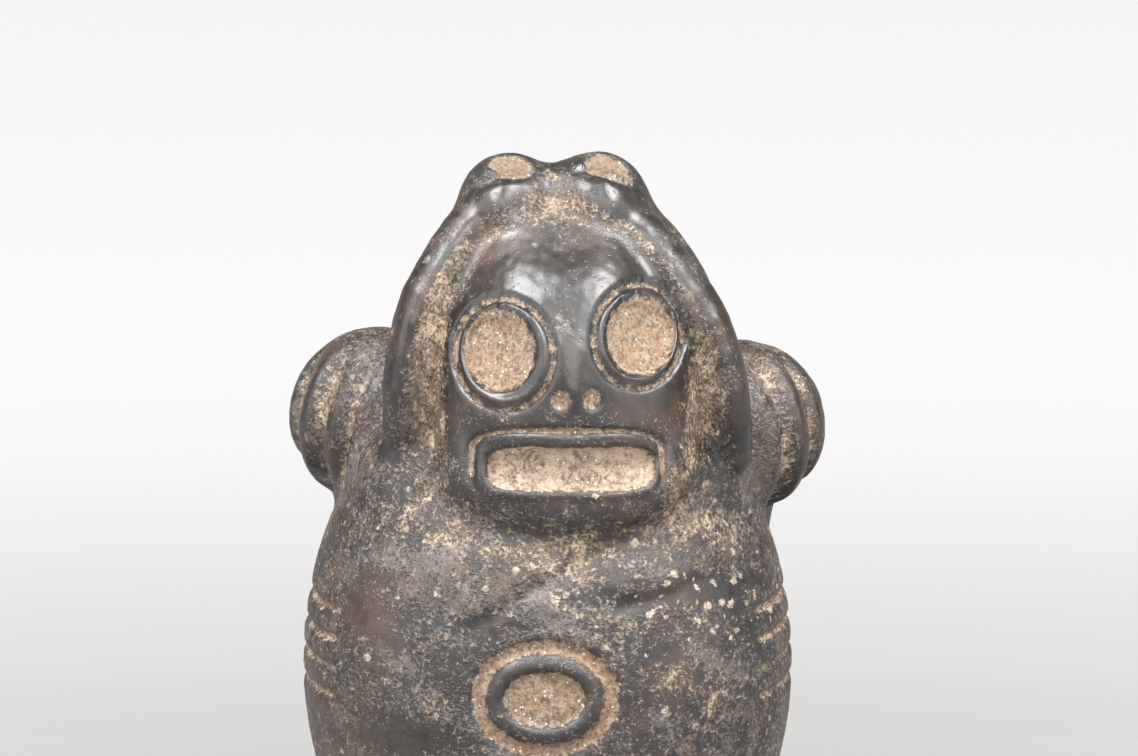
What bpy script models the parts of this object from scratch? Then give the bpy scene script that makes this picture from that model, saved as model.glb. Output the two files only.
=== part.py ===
"""A squat stone figure carved from one pebble: a skull-like face inside a hood with two bosses,
banded shoulders drawn back, a barrel body with a ringed navel, folded legs and a low oval base.

The stone is one closed surface. Its form is a blend of rounded masses (distance functions), and the
carving is a depth that is cut into, or left standing on, that form. A grid of rays from the body's
core meets the surface, and each meeting point is a vertex. Metres, +Z up, the figure faces -Y, and
the origin is at the centre of the underside.
"""
import bpy
import bmesh
import numpy as np

# Driving sizes in metres
FIGURE_HEIGHT = 0.140
BASE_HEIGHT = 0.010
BASE_WIDTH = 0.066
BASE_DEPTH = 0.058
BASE_EDGE = 0.0025
BASE_FILLET = 0.004

# The figure's proportions are shares of its height, written in 140ths of it
SHARE = FIGURE_HEIGHT / 140
LEFT, RIGHT = -1, 1

# Fineness of the grid, and of the facets that are kept
COLUMNS = 280
ROWS = 210
FACETS = 9600
STONE_COLOUR = (0.075, 0.068, 0.062, 1.0)
STONE_ROUGHNESS = 0.34


def blend(a, b, width):
    """The union of two masses, with a fillet about this wide where they meet."""
    mix = np.clip(0.5 + 0.5 * (b - a) / width, 0, 1)
    return b * (1 - mix) + a * mix - width * mix * (1 - mix)


def ellipsoid(p, centre, radii):
    """Distance from an ellipsoid, nearly true close to its surface."""
    q = (p - centre) / radii
    near = np.linalg.norm(q, axis=1)
    slope = np.linalg.norm(q / radii, axis=1)
    return near * (near - 1) / np.maximum(slope, 1e-9)


def limb(p, joints, radii, fillet):
    """A rounded limb through its joints, with a radius at each joint."""
    whole = None
    for a, b, ra, rb in zip(joints[:-1], joints[1:], radii[:-1], radii[1:]):
        a, b = np.array(a, float), np.array(b, float)
        along = np.clip((p - a) @ (b - a) / ((b - a) @ (b - a)), 0, 1)
        piece = np.linalg.norm(p - a - along[:, None] * (b - a), axis=1) - ra - (rb - ra) * along
        whole = piece if whole is None else blend(whole, piece, fillet)
    return whole


def ease(x, low, high):
    """0 below low, 1 above high, and a smooth rise between them."""
    t = np.clip((x - low) / (high - low), 0, 1)
    return t * t * (3 - 2 * t)


def hump(x, width):
    """A bell of height 1 that has fallen to a third at this width."""
    return np.exp(-(x / width) ** 2)


def oval(x, z, centre, radii, power=2.0):
    """Signed distance in the front view from an oval's outline, negative inside it."""
    ax, az = np.abs(x - centre[0]), np.abs(z - centre[1])
    level = ((ax / radii[0]) ** power + (az / radii[1]) ** power) ** (1 / power)
    size = np.hypot(ax, az)
    return np.where(level > 1e-6, size * (1 - 1 / np.maximum(level, 1e-6)), -min(radii))


# Body: a barrel, with the shoulders drawn up and back, banded like a bound arm
BODY_CENTRE, BODY_RADII = (-0.4, 0.5, 55.0), (40.9, 32.5, 52.5)
HIP_CENTRE, HIP_RADII = (-0.6, 1.0, 14.0), (34.0, 27.5, 26.0)
SHOULDERS = {LEFT: dict(centre=(-28.8, 8.0, 95.2), radii=(15.2, 17.0, 15.2)),
             RIGHT: dict(centre=(32.1, 8.0, 93.7), radii=(14.3, 17.0, 14.5))}
YOKE_CENTRE, YOKE_RADII = (19.0, -5.0, 86.5), (14.0, 14.0, 11.0)
BAND_LEAN = 30.0
BAND_LIFT = {LEFT: 13.0, RIGHT: 12.0}
BANDS = {LEFT: ((8.8, 1.6, 1.3), (2.1, 1.9, 2.0), (-3.7, 1.3, 1.2)),
         RIGHT: ((5.9, 1.5, 1.5), (-0.6, 1.7, 2.0))}


def band_cuts(p, side):
    """Depth of the shoulder's grooves (place, width, depth), square to an axis that leans back and up."""
    lean, lift = np.radians(BAND_LEAN), np.radians(BAND_LIFT[side])
    axis = (side * np.cos(lean) * np.cos(lift), np.sin(lean) * np.cos(lift), np.sin(lift))
    reach = (p - SHOULDERS[side]["centre"]) @ axis
    cut = 0.0
    for place, width, depth in BANDS[side]:
        cut = cut + depth * hump(reach - place, width)
    return cut * ease(-p[:, 1], -24.0, -16.0) * ease(-p[:, 2], -109.0, -102.0)


def shoulders(p, side):
    """A round, grooved shoulder and the yoke inside it."""
    knob = ellipsoid(p, SHOULDERS[side]["centre"], SHOULDERS[side]["radii"]) + band_cuts(p, side)
    x, y, z = YOKE_CENTRE
    return blend(knob, ellipsoid(p, (side * x, y, z), YOKE_RADII), 3.0)


def arm(p, side):
    """The arm in low relief down the back, its hand turned forward on the flank."""
    joints = [(side * 29.1 + 0.7, 15, 92), (side * 27.8 + 0.7, 20, 70), (side * 30.5 + 0.5, 13, 58)]
    return limb(p, joints, (11.0, 7.5, 6.0), 5.0)


def leg(p, side):
    """A folded leg: thigh along the flank, knee at the front corner, foot on the base."""
    joints = [(side * 27, 9, 15), (side * 25.0, -13.5, 24), (side * 18, -18.5, 5)]
    foot = ellipsoid(p, (side * 16.5, -21.5, 2.0), (8.5, 7.5, 4.5))
    return blend(limb(p, joints, (10.5, 9.8, 8.5), 3.0), foot, 3.0)


# Head: an ogive core, a hood whose rolled edges run down each side, and two bosses on the crown
HEAD_CENTRE, HEAD_RADII = (2.0, -3.0, 100.0), (28.5, 24.5, 36.5)
FACE_MASS_CENTRE, FACE_MASS_RADII = (2.8, -14.0, 99.5), (21.5, 19.0, 25.0)
ROLL_GUIDES = ((9.6, -8.0, 131.0), (18.2, -16.0, 125.5), (27.2, -22.0, 112.0), (27.8, -14.0, 90.0))
ROLL_RADII, ROLL_STATIONS, ROLL_PIECES = (4.6, 4.2, 3.4, 2.0), (0.0, 0.5, 0.8, 1.0), 11
ROLL_SHIFT = (0.2, 3.2)
CREST_AHEAD, CREST_SHARE = 0.7, 0.45
BOSSES = {LEFT: (-6.7, -6.5, 131.8), RIGHT: (7.9, -6.5, 132.0)}
BOSS_RADII = (8.3, 9.5, 8.2)
JAW_GUIDES = ((-13.5, -20.0, 91.0), (-10.0, -28.6, 82.0), (16.0, -28.6, 82.0), (19.5, -20.0, 91.0))
JAW_RADIUS, JAW_PIECES = 5.4, 13


def bent_line(guides, count):
    """Points along the smooth curve that four guide points pull into shape."""
    t = np.linspace(0, 1, count)[:, None]
    a, b, c, d = np.array(guides)
    return a * (1 - t) ** 3 + 3 * b * t * (1 - t) ** 2 + 3 * c * t**2 * (1 - t) + d * t**3


def roll(p, side):
    """The hood's rolled edge: a tapering limb with a thin crest ahead of it, down to a blunt tip."""
    shift = np.linspace(*ROLL_SHIFT, ROLL_PIECES)[:, None] * (1, 0, 0)
    line = bent_line(ROLL_GUIDES, ROLL_PIECES) * (side, 1, 1) + shift
    radii = np.interp(np.linspace(0, 1, ROLL_PIECES), ROLL_STATIONS, ROLL_RADII)
    ahead = (CREST_AHEAD * radii)[:, None] * (0, -1, 0)
    return blend(limb(p, line, radii, 0.1), limb(p, line + ahead, CREST_SHARE * radii, 0.1), 2.5)


def head(p):
    """The hooded head, before its face is cut and without the hood's rolled edges."""
    mass = ellipsoid(p, HEAD_CENTRE, HEAD_RADII)
    mass = blend(mass, ellipsoid(p, FACE_MASS_CENTRE, FACE_MASS_RADII), 4.0)
    jaw = bent_line(JAW_GUIDES, JAW_PIECES)
    mass = blend(mass, limb(p, jaw, [JAW_RADIUS] * JAW_PIECES, 0.1), 3.0)
    for side in (LEFT, RIGHT):
        mass = blend(mass, ellipsoid(p, BOSSES[side], BOSS_RADII), 4.5)
    return mass


# Face, in the front view: (x, z) places and radii
FACE_CENTRE, FACE_RADII, FACE_POWER = (2.8, 104.5), (20.6, 24.3), 2.6
EYES = {LEFT: dict(ring_centre=(-7.3, 108.1), ring=(7.9, 8.8), pit_centre=(-8.0, 108.8), pit=(6.0, 6.8)),
        RIGHT: dict(ring_centre=(14.3, 110.9), ring=(7.2, 8.2), pit_centre=(14.7, 111.0), pit=(5.8, 6.5))}
BROWS, BROW_RADIUS, BROW_RISE = ((-5.6, 118.6), (8.6, 119.4)), 6.5, 0.9
NOSTRILS, NOSTRIL_RADII = ((1.9, 100.9), (6.8, 101.0)), (1.5, 1.6)
MOUTH_CENTRE, MOUTH_RADII = (2.8, 90.3), (15.4, 5.8)
SLOT_CENTRE, SLOT_RADII, SLOT_DEPTH, SLOT_TILT = (3.5, 89.8), (13.8, 3.8), 1.3, 0.2
NAVEL_CENTRE, NAVEL_RING, NAVEL_PIT = (-0.7, 52.6), (10.8, 8.5), (6.8, 4.8)
LINE_WIDTH = 0.7


def face_cuts(x, z):
    """Depth cut from the head's front: the face's rim, eye rings and pits, nostrils and mouth."""
    rim = oval(x, z, FACE_CENTRE, FACE_RADII, FACE_POWER)
    above = ease(z, 112.0, 124.0)
    cut = 0.9 * hump(rim - 1.8 - 0.9 * above, 2.5 + 2.3 * above) * ease(z, 84.0, 92.0)
    for brow_x, brow_z in BROWS:
        cut -= BROW_RISE * hump(np.hypot(x - brow_x, z - brow_z), BROW_RADIUS)
    cut -= 0.7 * hump(x - 3.8, 3.0) * ease(z, 98.0, 102.0) * ease(-z, -114.0, -108.0)
    for eye in EYES.values():
        ring = oval(x, z, eye["ring_centre"], eye["ring"])
        cut += 0.8 * hump(ring, LINE_WIDTH) - 0.5 * hump(ring + 1.2, 0.8)
        pit = oval(x, z, eye["pit_centre"], eye["pit"])
        cut += 1.3 * ease(-pit, -0.3, 0.9) + 0.9 * ease(-pit, 0.5, 5.0)
    for place in NOSTRILS:
        cut += 0.9 * ease(-oval(x, z, place, NOSTRIL_RADII), -0.5, 0.8)
    lips = oval(x, z, MOUTH_CENTRE, MOUTH_RADII, power=4)
    cut += 0.8 * hump(lips, LINE_WIDTH) * ease(z, MOUTH_CENTRE[1] - 5.0, MOUTH_CENTRE[1] - 1.0)
    cut -= 0.4 * ease(-lips, -0.2, 1.4)
    slot_floor = SLOT_DEPTH + SLOT_TILT * (z - SLOT_CENTRE[1])
    return cut + slot_floor * ease(-oval(x, z, SLOT_CENTRE, SLOT_RADII, power=4), -0.4, 1.0)


def crease(x, z, line, width):
    """A bell of height 1 along a line in the front view, which fades at the line's ends."""
    line = np.array(line)
    height = np.interp(x, line[:, 0], line[:, 1])
    slope = np.interp(x, line[:-1, 0], np.diff(line[:, 1]) / np.diff(line[:, 0]))
    ends = ease(x, line[0, 0] - 2, line[0, 0] + 4) * ease(-x, -line[-1, 0] - 2, 4 - line[-1, 0])
    return hump((z - height) / np.hypot(1, slope), width) * ends


# On the crown: each boss's brow line (x, z), pecked hollow (x, y) and the small bulges below (x, z, size)
BOSS_BROWS = {LEFT: ((-12.4, 134.6), (-7.5, 136.2), (-2.6, 136.4)),
              RIGHT: ((4.0, 137.0), (9.0, 136.8), (14.2, 134.2))}
BOSS_HOLLOWS, HOLLOW_RADII = ((-6.3, -10.8), (9.4, -10.8)), (3.8, 2.5)
BULGES = ((-8.4, 132.6, 2.4), (-2.9, 133.8, 1.5), (5.6, 133.8, 1.5), (9.6, 133.2, 2.4))
BULGE_RISE = 0.35


def hood_cuts(x, y, z):
    """Depth cut from the crown's front: brow lines, hollows on top, and the bulges left standing."""
    cut = 0.0
    for line in BOSS_BROWS.values():
        cut = cut + 1.0 * crease(x, z, line, 0.9)
    for place in BOSS_HOLLOWS:
        cut += 0.7 * ease(-oval(x, y, place, HOLLOW_RADII), -0.6, 1.0) * ease(z, 130.0, 134.0)
    for bulge_x, bulge_z, size in BULGES:
        cut -= BULGE_RISE * size * hump(np.hypot(x - bulge_x, z - bulge_z), size)
    return cut


CHEST_CREASES = (((-12.7, 63.9), (-1.5, 70.6), (6.5, 75.4), (13.0, 77.5)),
                 ((9.5, 67.2), (19.3, 69.0), (27.3, 71.9), (35.0, 73.5)))


def body_cuts(x, z):
    """Depth cut from the front of the body: the navel's ring and hollow, and the chest's creases."""
    ring = oval(x, z, NAVEL_CENTRE, NAVEL_RING)
    cut = 1.1 * hump(ring, 1.35) - 0.3 * hump(ring + 2.6, 1.2)
    cut += 1.0 * ease(-oval(x, z, NAVEL_CENTRE, NAVEL_PIT), -0.3, 0.6)
    for line in CHEST_CREASES:
        cut += 0.7 * crease(x, z, line, 1.5)
    cut -= 0.7 * ease(-oval(x, z, (-8.0, 71.0), (11.0, 6.0)), -3.0, 4.0)
    cut -= 0.7 * ease(-oval(x, z, (17.5, 71.5), (9.0, 3.5)), -3.0, 3.0)
    return cut


# Flank: short slanting cuts like fingers, on both sides, and a furrow down the spine
FINGER_COUNT, FINGER_PITCH, FINGER_TOP = 4, 4.7, 67.5
FINGER_SLANT, FINGER_DEPTH, FINGER_WIDTH = 0.15, 0.9, 0.75
FINGER_SPAN = (-12.0, 6.0)


def flank_cuts(p):
    """Depth of the finger cuts, which slant down towards the front."""
    x, y, z = p.T
    outer = ease(np.abs(x - BODY_CENTRE[0]), 28.0, 33.0)
    first, last = FINGER_SPAN
    span = ease(y, first - 2, first + 2) * ease(-y, -last - 2, 2 - last)
    cut = 0.0
    for n in range(FINGER_COUNT):
        cut = cut + FINGER_DEPTH * hump(z - FINGER_TOP + n * FINGER_PITCH - FINGER_SLANT * y, FINGER_WIDTH)
    return cut * outer * span


def spine_cut(p):
    """Depth of the furrow down the back."""
    x, y, z = p.T
    return 1.3 * hump(x - BODY_CENTRE[0], 2.5) * ease(y, 8, 18) * ease(z, 20, 32) * ease(-z, -84, -74)


def figure(p):
    """Distance from the carved figure, in shares, with z measured from the base's top."""
    form = blend(ellipsoid(p, BODY_CENTRE, BODY_RADII), ellipsoid(p, HIP_CENTRE, HIP_RADII), 6.0)
    for side in (LEFT, RIGHT):
        form = blend(form, leg(p, side), 4.5)
        form = blend(form, arm(p, side), 2.5)
        form = blend(form, shoulders(p, side), 3.5)
    form = blend(form, head(p), 3.0)
    for side in (LEFT, RIGHT):
        form = blend(form, roll(p, side), 2.4)
    x, y, z = p.T
    front = ease(-y, 2.0, 8.0)
    on_head = ease(z, 78.0, 80.0)
    form = form + front * (on_head * face_cuts(x, z) + (1 - on_head) * body_cuts(x, z))
    form = form + ease(-y, -2.0, 3.0) * hood_cuts(x, y, z)
    return form + flank_cuts(p) + spine_cut(p)


def base(p):
    """Distance from the low oval base, in metres, with its upper and lower edges rounded."""
    x, y, z = p.T
    wide, deep = BASE_WIDTH / 2 - BASE_EDGE, BASE_DEPTH / 2 - BASE_EDGE
    level = np.hypot(x / wide, y / deep)
    side = np.hypot(x, y) * (1 - 1 / np.maximum(level, 1e-6))
    half = BASE_HEIGHT / 2
    above = np.abs(z - half) - (half - BASE_EDGE)
    outside = np.hypot(np.maximum(side, 0), np.maximum(above, 0))
    return outside + np.minimum(np.maximum(side, above), 0) - BASE_EDGE


def stone(p):
    """Distance from the whole stone, in metres."""
    lifted = (p - (0, 0, BASE_HEIGHT)) / SHARE
    return blend(SHARE * figure(lifted), base(p), BASE_FILLET)


# Rays: level from the underside up to the chest, then turning upwards to the crown. They start from a
# flat core, which reaches out and back towards the shoulders.
TURN_START, TURN_RISE = 78.0, 30.0
STRAIGHT_PART = 0.5
CORE_X, CORE_HALF, CORE_BACK = 1.0, 26.0, 8.0
MARCH_STEPS, STRIDE, NEAR_ENOUGH = 45, 0.6, 0.02
NEWTON_STEPS, PROBE, LONGEST_STEP, LEAST_SLOPE = 5, 0.02, 0.4, 0.04


def rays(share_up, turn):
    """Starts and directions of rays: share_up runs from the underside to the crown, turn is round."""
    rise = np.clip((share_up - STRAIGHT_PART) / (1 - STRAIGHT_PART), 0, 1)
    level = np.clip(share_up / STRAIGHT_PART, 0, 1)
    height = level * (BASE_HEIGHT + TURN_START * SHARE) + TURN_RISE * SHARE * rise**2
    tilt = rise * np.pi / 2
    wide = level * (1 - rise**2)
    across = CORE_X * level + CORE_HALF * wide * np.sin(turn)
    start = np.stack([SHARE * across, SHARE * CORE_BACK * wide * np.sin(turn) ** 2, height], axis=-1)
    aim = np.stack([np.sin(turn) * np.cos(tilt), -np.cos(turn) * np.cos(tilt), np.sin(tilt)], axis=-1)
    return start, aim


def meet(start, aim):
    """Moves a point in along each ray until it is near the stone, then onto it by distance over slope."""
    far = np.full(len(start), 0.6 * FIGURE_HEIGHT + BASE_WIDTH / 2 + BASE_DEPTH / 2)
    moving = np.arange(len(start))
    for _ in range(MARCH_STEPS):
        gap = stone(start[moving] + aim[moving] * far[moving, None])
        far[moving] = np.maximum(far[moving] - STRIDE * gap, 0)
        moving = moving[np.abs(gap) > NEAR_ENOUGH * SHARE]
    for _ in range(NEWTON_STEPS):
        gap = stone(start + aim * far[:, None])
        slope = (stone(start + aim * (far + PROBE * SHARE)[:, None]) - gap) / (PROBE * SHARE)
        longest = LONGEST_STEP * SHARE
        far -= np.clip(gap / np.maximum(slope, LEAST_SLOPE), -longest, longest)
    return start + aim * far[:, None]


def spread(position, weight, count, closed):
    """Grid values between 0 and 1 that share out weighted length evenly along a line of points."""
    step = np.linalg.norm(np.diff(position, axis=0), axis=1) * (weight[1:] + weight[:-1]) / 2
    length = np.concatenate([[0], np.cumsum(step)])
    wanted = np.linspace(0, length[-1], count, endpoint=not closed)
    return np.interp(wanted, length, np.linspace(0, 1, len(position)))


def stone_mesh():
    """The grid of meeting points as a closed mesh, with the crown and the underside closed."""
    samples = np.linspace(0, 1, 600)
    profile = meet(*rays(samples, np.zeros_like(samples)))
    busy = 1 + 1.5 * ease(profile[:, 2] - BASE_HEIGHT, 72 * SHARE, 80 * SHARE)
    up = spread(profile, busy, ROWS, closed=False)
    girdle = meet(*rays(np.full_like(samples, 0.6), samples * 2 * np.pi))
    facing = 0.45 + 1.5 * ease(np.cos(samples * 2 * np.pi), -0.5, 0.1)
    turn = spread(girdle, facing, COLUMNS, closed=True) * 2 * np.pi
    up_grid, turn_grid = np.meshgrid(up[:-1], turn, indexing="ij")
    rows = len(up) - 1
    points = meet(*rays(up_grid.ravel(), turn_grid.ravel()))
    points[:COLUMNS, 2] = 0
    crown = meet(*rays(np.array([1.0]), np.array([0.0])))
    foot = np.array([[0.0, 0.0, 0.0]])
    ring, column = np.meshgrid(np.arange(rows - 1), np.arange(COLUMNS), indexing="ij")
    after = (column + 1) % COLUMNS
    quads = np.stack([ring * COLUMNS + column, ring * COLUMNS + after,
                      (ring + 1) * COLUMNS + after, (ring + 1) * COLUMNS + column], axis=-1).reshape(-1, 4)
    around = np.arange(COLUMNS)
    beside = (around + 1) % COLUMNS
    last, top, bottom = (rows - 1) * COLUMNS, rows * COLUMNS, rows * COLUMNS + 1
    crown_fan = np.stack([last + around, last + beside, np.full(COLUMNS, top)], axis=1)
    foot_fan = np.stack([beside, around, np.full(COLUMNS, bottom)], axis=1)
    faces = quads.tolist() + crown_fan.tolist() + foot_fan.tolist()
    mesh = bpy.data.meshes.new("carved_stone")
    mesh.from_pydata(np.concatenate([points, crown, foot]).tolist(), [], faces)
    return mesh


def stone_material():
    """Dark polished stone."""
    material = bpy.data.materials.new("dark_stone")
    material.use_nodes = True
    shader = material.node_tree.nodes["Principled BSDF"]
    shader.inputs["Base Color"].default_value = STONE_COLOUR
    shader.inputs["Roughness"].default_value = STONE_ROUGHNESS
    shader.inputs["Metallic"].default_value = 0.0
    return material


def settle(obj):
    """Keeps the facets that carry the form, and makes the underside exactly flat."""
    thin = obj.modifiers.new("facets", "DECIMATE")
    thin.ratio = FACETS / sum(len(face.vertices) - 2 for face in obj.data.polygons)
    bpy.context.view_layer.update()
    graph = bpy.context.evaluated_depsgraph_get()
    mesh = bpy.data.meshes.new_from_object(obj.evaluated_get(graph))
    obj.modifiers.clear()
    obj.data = mesh
    for vertex in mesh.vertices:
        if vertex.co.z < BASE_EDGE / 50:
            vertex.co.z = 0.0
    work = bmesh.new()
    work.from_mesh(mesh)
    bmesh.ops.triangulate(work, faces=work.faces)
    bmesh.ops.recalc_face_normals(work, faces=work.faces)
    work.to_mesh(mesh)
    work.free()
    mesh.shade_smooth()


def main():
    for old in list(bpy.data.objects):
        bpy.data.objects.remove(old)
    figure_object = bpy.data.objects.new("carved_figure", stone_mesh())
    bpy.context.scene.collection.objects.link(figure_object)
    figure_object.data.materials.append(stone_material())
    settle(figure_object)


main()
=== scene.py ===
"""The looks of a squat dark stone figure, carved, pecked and polished from one pebble."""

import bpy
import numpy as np
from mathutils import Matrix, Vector


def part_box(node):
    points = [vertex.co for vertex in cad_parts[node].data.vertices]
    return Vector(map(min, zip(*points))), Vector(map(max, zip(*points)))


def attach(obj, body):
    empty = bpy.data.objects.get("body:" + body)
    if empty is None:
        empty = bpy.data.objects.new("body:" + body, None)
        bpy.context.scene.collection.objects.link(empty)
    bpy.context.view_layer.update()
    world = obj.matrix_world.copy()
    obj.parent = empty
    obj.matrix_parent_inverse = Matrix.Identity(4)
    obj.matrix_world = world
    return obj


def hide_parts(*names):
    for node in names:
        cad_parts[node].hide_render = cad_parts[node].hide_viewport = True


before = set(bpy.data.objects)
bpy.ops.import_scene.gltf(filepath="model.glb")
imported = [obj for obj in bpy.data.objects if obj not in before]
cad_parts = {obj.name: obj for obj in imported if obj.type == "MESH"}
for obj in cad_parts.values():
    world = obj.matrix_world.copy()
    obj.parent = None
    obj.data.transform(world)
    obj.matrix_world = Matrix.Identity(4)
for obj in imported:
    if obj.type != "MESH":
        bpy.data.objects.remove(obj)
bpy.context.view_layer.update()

# The stone
# One pebble of fine, dark green-black stone, ground to a barrel with a low oval foot. It is one piece,
# so it is one closed surface: a distance function for each rounded mass, blended where masses meet.
# Lengths are shares of the figure's height, about a millimetre each, and z is up from the foot's top.
stone_low, stone_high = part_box("carved_figure")
SHARES_TALL, FOOT_TALL = 150.3, 10.0
SHARE = (stone_high[2] - stone_low[2]) / SHARES_TALL
FOOT_WIDE, FOOT_DEEP, FOOT_EDGE, FOOT_FILLET = 66.0, 58.0, 2.5, 4.0
LEFT, RIGHT = -1, 1
BODY = dict(centre=(-0.4, 0.5, 55.0), radii=(40.9, 32.5, 52.5))
HIPS = dict(centre=(-0.6, 1.0, 14.0), radii=(34.0, 27.5, 26.0))


def blend(a, b, width):
    """Union of two masses: the smaller distance, eased by a quadratic where they differ by under width."""
    mix = np.clip(0.5 + 0.5 * (b - a) / width, 0, 1)
    return b * (1 - mix) + a * mix - width * mix * (1 - mix)


def ellipsoid(p, centre, radii):
    """Distance from an ellipsoid: the scaled radius k times (k - 1), over the length of its gradient."""
    q = (p - centre) / radii
    near = np.linalg.norm(q, axis=1)
    slope = np.linalg.norm(q / radii, axis=1)
    return near * (near - 1) / np.maximum(slope, 1e-9)


def limb(p, joints, radii, fillet):
    """Distance from a chain of rounded cones: to each axis segment, less a radius that changes along it."""
    whole = None
    for a, b, ra, rb in zip(joints[:-1], joints[1:], radii[:-1], radii[1:]):
        a, b = np.array(a, float), np.array(b, float)
        along = np.clip((p - a) @ (b - a) / ((b - a) @ (b - a)), 0, 1)
        piece = np.linalg.norm(p - a - along[:, None] * (b - a), axis=1) - ra - (rb - ra) * along
        whole = piece if whole is None else blend(whole, piece, fillet)
    return whole


def ease(x, low, high):
    """0 below low and 1 above high, with 3t^2 - 2t^3 between."""
    t = np.clip((x - low) / (high - low), 0, 1)
    return t * t * (3 - 2 * t)


def hump(x, width):
    """The bell exp(-(x / width)^2)."""
    return np.exp(-(x / width) ** 2)


def oval(x, z, centre, radii, power=2.0):
    """Signed distance in a flat view from the superellipse |x/a|^n + |z/b|^n = 1, measured to its centre."""
    ax, az = np.abs(x - centre[0]), np.abs(z - centre[1])
    level = ((ax / radii[0]) ** power + (az / radii[1]) ** power) ** (1 / power)
    size = np.hypot(ax, az)
    return np.where(level > 1e-6, size * (1 - 1 / np.maximum(level, 1e-6)), -min(radii))


def foot(p):
    """Distance from the low oval foot: an ellipse drawn up, with both edges rounded by a quarter circle."""
    x, y, z = p.T
    wide, deep = FOOT_WIDE / 2 - FOOT_EDGE, FOOT_DEEP / 2 - FOOT_EDGE
    level = np.hypot(x / wide, y / deep)
    side = np.hypot(x, y) * (1 - 1 / np.maximum(level, 1e-6))
    above = np.abs(z + FOOT_TALL / 2) - (FOOT_TALL / 2 - FOOT_EDGE)
    outside = np.hypot(np.maximum(side, 0), np.maximum(above, 0))
    return outside + np.minimum(np.maximum(side, above), 0) - FOOT_EDGE


# Shoulders, arms and legs
# The shoulders are drawn up and back as round lobes, each cut by grooves that follow its rim. The arms
# lead down the back in low relief, and the folded legs hug the body down to the foot.
SHOULDERS = {LEFT: dict(centre=(-28.8, 8.0, 95.2), radii=(15.2, 17.0, 15.2)),
             RIGHT: dict(centre=(32.1, 8.0, 93.7), radii=(14.3, 17.0, 14.5))}
YOKE_CENTRE, YOKE_RADII = (19.0, -5.0, 86.5), (14.0, 14.0, 11.0)
BAND_LEAN = np.radians(30)
BAND_LIFT = {LEFT: np.radians(13), RIGHT: np.radians(12)}
BANDS = {LEFT: ((8.8, 1.6, 1.3), (2.1, 1.9, 2.0), (-3.7, 1.3, 1.2)),
         RIGHT: ((5.9, 1.5, 1.5), (-0.6, 1.7, 2.0))}
CHIP, CHIP_SIZE, CHIP_DEPTH = (46.2, 6.0, 95.4), 1.5, 0.9


def band_cuts(p, side):
    """Depth cut round the shoulder: bells (place, width, depth) along an axis that leans back and up."""
    lean, lift = BAND_LEAN, BAND_LIFT[side]
    axis = (side * np.cos(lean) * np.cos(lift), np.sin(lean) * np.cos(lift), np.sin(lift))
    reach = (p - SHOULDERS[side]["centre"]) @ axis
    cut = 0.0
    for place, width, depth in BANDS[side]:
        cut = cut + depth * hump(reach - place, width)
    return cut * ease(-p[:, 1], -24.0, -16.0) * ease(-p[:, 2], -109.0, -102.0)


def shoulder(p, side):
    """The grooved lobe and the plain yoke that joins it to the neck."""
    knob = ellipsoid(p, **SHOULDERS[side]) + band_cuts(p, side)
    x, y, z = YOKE_CENTRE
    return blend(knob, ellipsoid(p, (side * x, y, z), YOKE_RADII), 3.0)


def arm(p, side):
    """Upper arm and forearm, down the back to a hand on the flank."""
    joints = [(side * 29.1 + 0.7, 15, 92), (side * 27.8 + 0.7, 20, 70), (side * 30.5 + 0.5, 13, 58)]
    return limb(p, joints, (11.0, 7.5, 6.0), 5.0)


def leg(p, side):
    """Thigh along the flank, shin at the front corner, and a flat foot."""
    joints = [(side * 27, 9, 15), (side * 25.0, -13.5, 24), (side * 18, -18.5, 5)]
    toes = ellipsoid(p, (side * 16.5, -21.5, 2.0), (8.5, 7.5, 4.5))
    return blend(limb(p, joints, (10.5, 9.8, 8.5), 3.0), toes, 3.0)


# Head and hood
# An ogive with the face's mass and a jutting jaw in front. The hood's edge is a roll down each side,
# and two round bosses crown it.
HEAD = dict(centre=(2.0, -3.0, 100.0), radii=(28.5, 24.5, 36.5))
FACE_MASS = dict(centre=(2.8, -14.0, 99.5), radii=(21.5, 19.0, 25.0))
JAW_GUIDES = ((-13.5, -20.0, 91.0), (-10.0, -28.6, 82.0), (16.0, -28.6, 82.0), (19.5, -20.0, 91.0))
JAW_RADIUS, JAW_PIECES = 5.4, 13
ROLL_GUIDES = ((9.6, -8.0, 131.0), (18.2, -16.0, 125.5), (27.2, -22.0, 112.0), (27.8, -14.0, 90.0))
ROLL_RADII, ROLL_STATIONS, ROLL_PIECES = (4.6, 4.2, 3.4, 2.0), (0.0, 0.5, 0.8, 1.0), 11
ROLL_SHIFT = (0.2, 3.2)
CREST_AHEAD, CREST_SHARE = 0.7, 0.45
ROLL_BACKING = ((1.5, 4.5, 0.8), (3.5, 9.0, 0.7))
BOSSES = {LEFT: (-6.7, -6.5, 131.8), RIGHT: (7.9, -6.5, 132.0)}
BOSS_RADII = (8.3, 9.5, 8.2)


def bent_line(guides, count):
    """Points on a cubic Bezier curve: four guide points weighted by (1-t)^3, 3t(1-t)^2, 3t^2(1-t), t^3."""
    t = np.linspace(0, 1, count)[:, None]
    a, b, c, d = np.array(guides)
    return a * (1 - t) ** 3 + 3 * b * t * (1 - t) ** 2 + 3 * c * t**2 * (1 - t) + d * t**3


def roll_line(side):
    """The middle line of the hood's rolled edge on one side, from the crown to its tip."""
    shift = np.linspace(*ROLL_SHIFT, ROLL_PIECES)[:, None] * (1, 0, 0)
    return bent_line(ROLL_GUIDES, ROLL_PIECES) * (side, 1, 1) + shift


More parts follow.
